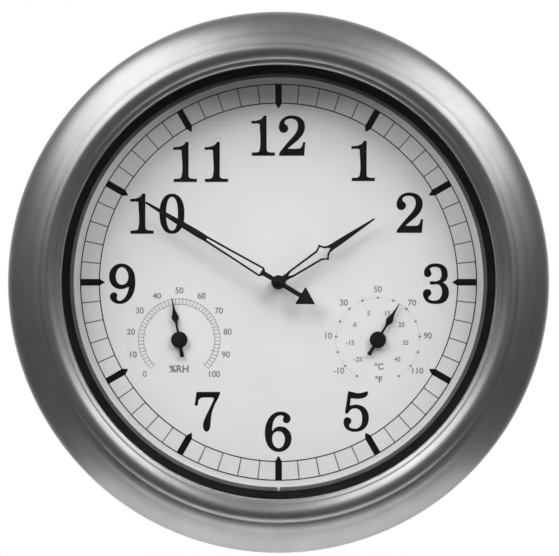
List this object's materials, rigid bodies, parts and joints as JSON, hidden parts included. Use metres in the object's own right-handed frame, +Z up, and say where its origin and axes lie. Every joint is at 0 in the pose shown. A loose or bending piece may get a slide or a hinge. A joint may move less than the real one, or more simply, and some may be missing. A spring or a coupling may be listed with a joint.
{
  "type": "atomic wall clock",
  "caption": "Round silver-framed radio-controlled wall clock with skeleton hands, thermometer and hygrometer under a flat lens.",
  "frame": {"origin": "the nail that carries the clock: the top of the hanger's keyhole slot, in the plane of the wall", "axes": "+Z up, the face looks along -Y and the wall is at y = 0 on the +Y side, +X to the right seen from the front"},
  "size_m": [0.4572, 0.0502, 0.4572],
  "materials": {
    "silver_frame": "silver lacquer on moulded plastic, satin gloss",
    "lens": "clear and polished",
    "gasket_rubber": "matt",
    "black_ring": "satin black",
    "dial_white": "matt white lacquer on aluminium",
    "rear_plastic": "fine spark texture",
    "zinc_steel": "zinc plated",
    "hand_black": "stamped aluminium, satin black paint",
    "brass_hardware": "turned",
    "movement_plastic": "moulded, fine grain",
    "gear_nylon": "moulded nylon",
    "button_white": "moulded",
    "ferrite": "sintered",
    "copper_winding": "enamelled copper wire",
    "board_green": "solder mask on glass epoxy",
    "chip_black": "moulded",
    "battery_wrap": "steel cell in a plain printed sleeve",
    "spring_steel": "nickel plated"
  },
  "bodies": {
    "case": {"bezel": "silver_frame", "lens": "lens", "lens_gasket": "gasket_rubber", "dial_ring": "black_ring", "dial": "dial_white", "dial_plate": "rear_plastic", "rear_case": "rear_plastic", "case_screw_1": "zinc_steel", "case_screw_2": "zinc_steel", "case_screw_3": "zinc_steel", "case_screw_4": "zinc_steel", "case_screw_5": "zinc_steel", "case_screw_6": "zinc_steel", "hanger_plate": "zinc_steel", "hanger_spacer_1": "rear_plastic", "hanger_spacer_2": "rear_plastic", "hanger_screw_1": "zinc_steel", "hanger_screw_2": "zinc_steel", "bush_nut": "brass_hardware", "dial_washer": "brass_hardware", "cushion_washer": "gasket_rubber", "movement_case": "movement_plastic", "movement_cover": "movement_plastic", "movement_bridge": "gear_nylon", "motor_stator": "spring_steel", "motor_coil": "copper_winding", "circuit_board": "board_green", "receiver_chip": "chip_black", "quartz_crystal": "spring_steel", "antenna_rod": "ferrite", "antenna_coil": "copper_winding", "positive_contact": "spring_steel", "negative_contact": "spring_steel", "hygrometer_housing": "rear_plastic", "hygrometer_bridge": "zinc_steel", "hygrometer_coil": "copper_winding", "thermometer_housing": "rear_plastic", "thermometer_bridge": "zinc_steel", "thermometer_coil": "copper_winding"},
    "minute": {"minute_arbor": "brass_hardware", "minute_hand": "hand_black", "hand_nut": "hand_black"},
    "hour": {"hour_wheel": "gear_nylon", "hour_hand": "hand_black"},
    "motion": {"motion_wheel": "gear_nylon"},
    "third": {"third_wheel": "gear_nylon"},
    "rotor": {"motor_rotor": "ferrite"},
    "hygrometer": {"hygrometer_spindle": "brass_hardware", "hygrometer_pointer": "hand_black"},
    "thermometer": {"thermometer_spindle": "brass_hardware", "thermometer_pointer": "hand_black"},
    "battery": {"battery": "battery_wrap"},
    "set_button": {"set_button": "button_white"},
    "receive_button": {"receive_button": "button_white"},
    "reset_button": {"reset_button": "button_white"},
    "zone_slider": {"zone_slider": "button_white"}
  },
  "joints": [
    {"name": "minute_hand_turn", "type": "hinge", "parent": "case", "child": "minute", "pos_m": [0, -0.0289, -0.21335], "axis": [0, 1, 0], "continuous": true},
    {"name": "hour_hand_turn", "type": "hinge", "parent": "case", "child": "hour", "pos_m": [0, -0.0267, -0.21335], "axis": [0, 1, 0], "continuous": true},
    {"name": "motion_wheel_turn", "type": "hinge", "parent": "case", "child": "motion", "pos_m": [-0.01039, -0.0142, -0.20735], "axis": [0, 1, 0], "continuous": true},
    {"name": "third_wheel_turn", "type": "hinge", "parent": "case", "child": "third", "pos_m": [0.01353, -0.0114, -0.20842], "axis": [0, 1, 0], "continuous": true},
    {"name": "rotor_turn", "type": "hinge", "parent": "case", "child": "rotor", "pos_m": [0.02265, -0.0094, -0.21607], "axis": [0, 1, 0], "continuous": true},
    {"name": "hygrometer_turn", "type": "hinge", "parent": "case", "child": "hygrometer", "pos_m": [-0.084, -0.0235, -0.26195], "axis": [0, 1, 0], "range_deg": [-124.8, 145.2], "stiffness_Nm_per_rad": 0.0003},
    {"name": "thermometer_turn", "type": "hinge", "parent": "case", "child": "thermometer", "pos_m": [0.084, -0.0235, -0.26195], "axis": [0, 1, 0], "range_deg": [-180.9, 119.1], "stiffness_Nm_per_rad": 0.0003},
    {"name": "battery_slide", "type": "slide", "parent": "case", "child": "battery", "axis": [0, 1, 0], "range_m": [0, 0.018]},
    {"name": "set_button_press", "type": "slide", "parent": "case", "child": "set_button", "axis": [0, -1, 0], "range_m": [0, 0.0004], "stiffness_N_per_m": 500},
    {"name": "receive_button_press", "type": "slide", "parent": "case", "child": "receive_button", "axis": [0, -1, 0], "range_m": [0, 0.0004], "stiffness_N_per_m": 500},
    {"name": "reset_button_press", "type": "slide", "parent": "case", "child": "reset_button", "axis": [0, -1, 0], "range_m": [0, 0.0004], "stiffness_N_per_m": 500},
    {"name": "zone_slider_slide", "type": "slide", "parent": "case", "child": "zone_slider", "axis": [1, 0, 0], "range_m": [0, 0.006]}
  ],
  "couplings": [
    {"joint": "hour_hand_turn", "follows": "minute_hand_turn", "ratio": 0.083333},
    {"joint": "motion_wheel_turn", "follows": "minute_hand_turn", "ratio": -0.33333},
    {"joint": "third_wheel_turn", "follows": "minute_hand_turn", "ratio": -8},
    {"joint": "rotor_turn", "follows": "minute_hand_turn", "ratio": 60}
  ]
}
